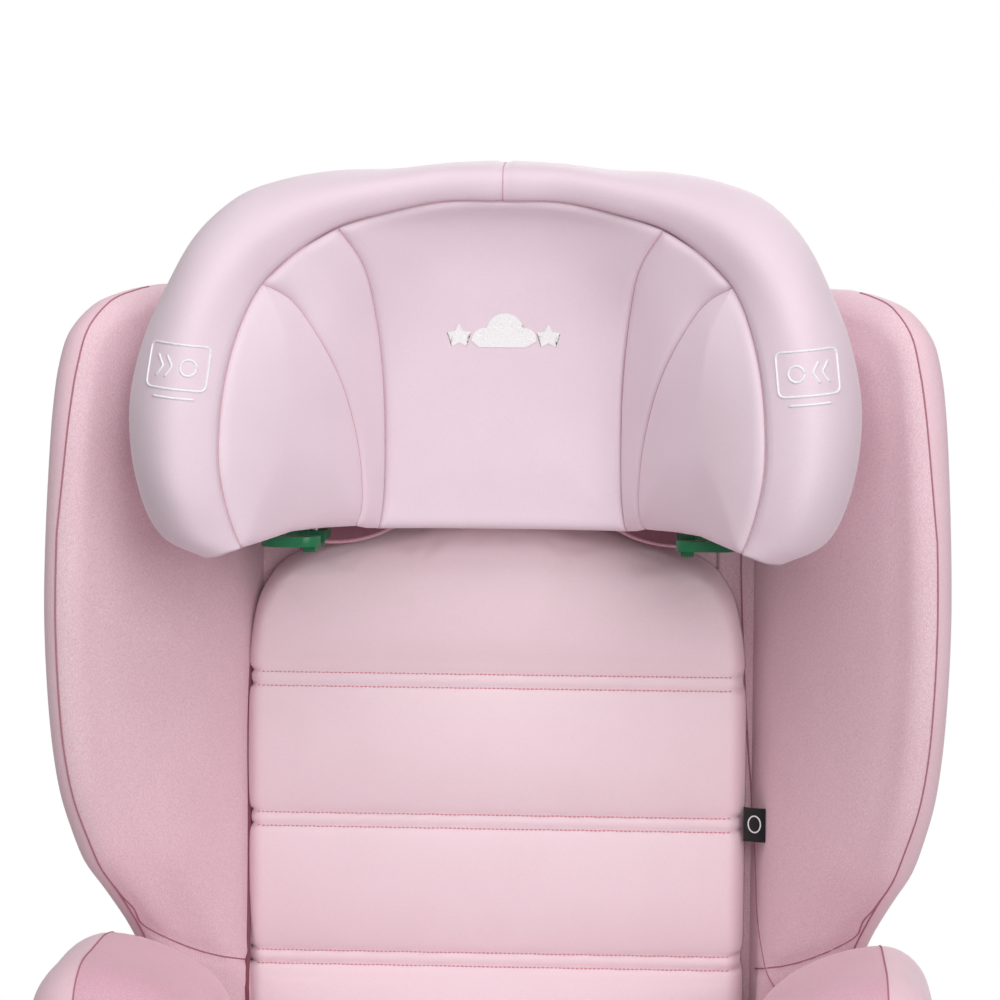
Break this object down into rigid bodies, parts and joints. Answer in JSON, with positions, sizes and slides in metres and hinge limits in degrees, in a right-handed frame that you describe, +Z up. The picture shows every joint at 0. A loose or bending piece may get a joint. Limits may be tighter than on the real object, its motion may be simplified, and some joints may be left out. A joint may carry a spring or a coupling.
{
  "type": "booster seat",
  "caption": "High-back child booster seat for a car, with padded side wings, a height-adjustable winged headrest, armrests, a reclining backrest and rear anchor connectors.",
  "frame": {"origin": "on the floor under the middle of the seat", "axes": "+Z up, the seat faces -Y, +X is the right side as seen from the front"},
  "size_m": [0.4788, 0.4181, 0.638],
  "materials": {
    "shell_plastic": "fine moulded grain",
    "handle_plastic": "satin",
    "connector_plastic": "satin",
    "green_plastic": "satin",
    "steel": "brushed",
    "rubber": "matt",
    "foam": "open foam",
    "smooth_fabric": "smooth knit with a soft sheen",
    "rim_fabric": "smooth knit with a soft sheen",
    "melange_fabric": "heathered knit",
    "elastic": "ribbed elastic",
    "tag_fabric": "woven"
  },
  "bodies": {
    "base": {"base_shell": "shell_plastic", "base_bottom_cover": "shell_plastic", "base_screws": "steel", "base_feet": "rubber", "seat_foam": "foam", "seat_cushion_foam": "foam", "seat_cushion": "smooth_fabric", "seat_cover": "melange_fabric", "armrest_cover_left": "melange_fabric", "armrest_cover_right": "melange_fabric", "armrest_frames": "shell_plastic", "lap_belt_guide_left": "green_plastic", "lap_belt_guide_right": "green_plastic", "hinge_rod": "steel", "anchor_guide_left": "steel", "anchor_guide_right": "steel"},
    "backrest": {"back_shell": "shell_plastic", "back_rear_panel": "shell_plastic", "back_screws": "steel", "height_rack": "steel", "back_cover": "melange_fabric", "back_pad_foam": "foam", "back_pad": "smooth_fabric", "wing_cover_left": "melange_fabric", "wing_cover_right": "melange_fabric", "size_tag": "tag_fabric"},
    "headrest": {"head_shell": "shell_plastic", "head_liner": "foam", "head_spine": "shell_plastic", "head_screws": "steel", "head_cover_rim": "rim_fabric", "head_cover_centre": "smooth_fabric", "head_cover_strip_left": "smooth_fabric", "head_cover_strip_right": "smooth_fabric", "head_cover_side_left": "smooth_fabric", "head_cover_side_right": "smooth_fabric", "head_cover_hem": "elastic", "belt_guide_left": "green_plastic", "belt_guide_right": "green_plastic", "belt_gate_pins": "steel", "handle_spring": "steel", "handle_frame": "shell_plastic"},
    "height_handle": {"adjust_handle": "handle_plastic", "pull_rod": "steel"},
    "lock_pawl": {"lock_pawl": "steel"},
    "belt_gate_left": {"belt_gate_left": "green_plastic"},
    "belt_gate_right": {"belt_gate_right": "green_plastic"},
    "anchor_carriage": {"anchor_arm_left": "steel", "anchor_arm_right": "steel", "anchor_cross_bar": "steel", "anchor_rack": "steel", "anchor_housing_left": "connector_plastic", "anchor_housing_right": "connector_plastic", "anchor_hook_pins": "steel"},
    "anchor_hook_left": {"anchor_hook_left": "steel"},
    "anchor_hook_right": {"anchor_hook_right": "steel"},
    "anchor_button_left": {"anchor_button_left": "green_plastic"},
    "anchor_button_right": {"anchor_button_right": "green_plastic"},
    "anchor_release": {"anchor_release_handle": "handle_plastic"},
    "anchor_lock": {"anchor_lock_bar": "steel"}
  },
  "joints": [
    {"name": "backrest_recline", "type": "hinge", "parent": "base", "child": "backrest", "pos_m": [0, 0.15, 0.074], "axis": [-1, 0, 0], "range_deg": [0, 20]},
    {"name": "headrest_height", "type": "slide", "parent": "backrest", "child": "headrest", "axis": [0, 0, 1], "range_m": [0, 0.2]},
    {"name": "handle_pull", "type": "slide", "parent": "headrest", "child": "height_handle", "axis": [0, 0, 1], "range_m": [0, 0.012], "stiffness_N_per_m": 900, "deforming": ["handle_spring"]},
    {"name": "pawl_retract", "type": "slide", "parent": "headrest", "child": "lock_pawl", "axis": [0, -1, 0], "range_m": [0, 0.008]},
    {"name": "belt_gate_left", "type": "hinge", "parent": "headrest", "child": "belt_gate_left", "pos_m": [-0.102, 0.05, 0.429], "axis": [0, 0, -1], "range_deg": [0, 35], "stiffness_Nm_per_rad": 0.05},
    {"name": "belt_gate_right", "type": "hinge", "parent": "headrest", "child": "belt_gate_right", "pos_m": [0.102, 0.05, 0.429], "axis": [0, 0, 1], "range_deg": [0, 35], "stiffness_Nm_per_rad": 0.05},
    {"name": "anchor_extend", "type": "slide", "parent": "base", "child": "anchor_carriage", "axis": [0, 1, 0], "range_m": [0, 0.09]},
    {"name": "button_left_press", "type": "slide", "parent": "anchor_carriage", "child": "anchor_button_left", "axis": [0, -1, 0], "range_m": [0, 0.008], "stiffness_N_per_m": 500},
    {"name": "button_right_press", "type": "slide", "parent": "anchor_carriage", "child": "anchor_button_right", "axis": [0, -1, 0], "range_m": [0, 0.008], "stiffness_N_per_m": 500},
    {"name": "hook_left_open", "type": "hinge", "parent": "anchor_carriage", "child": "anchor_hook_left", "pos_m": [-0.14, 0.172, 0.033], "axis": [1, 0, 0], "range_deg": [0, 25]},
    {"name": "hook_right_open", "type": "hinge", "parent": "anchor_carriage", "child": "anchor_hook_right", "pos_m": [0.14, 0.172, 0.033], "axis": [1, 0, 0], "range_deg": [0, 25]},
    {"name": "release_pull", "type": "slide", "parent": "base", "child": "anchor_release", "axis": [0, -1, 0], "range_m": [0, 0.012], "stiffness_N_per_m": 800},
    {"name": "lock_lift", "type": "slide", "parent": "base", "child": "anchor_lock", "axis": [0, 0, 1], "range_m": [0, 0.005]}
  ],
  "couplings": [
    {"joint": "pawl_retract", "follows": "handle_pull", "ratio": 0.66003},
    {"joint": "hook_left_open", "follows": "button_left_press", "rad_per_m": 54.5},
    {"joint": "hook_right_open", "follows": "button_right_press", "rad_per_m": 54.5},
    {"joint": "lock_lift", "follows": "release_pull", "ratio": 0.41253}
  ]
}
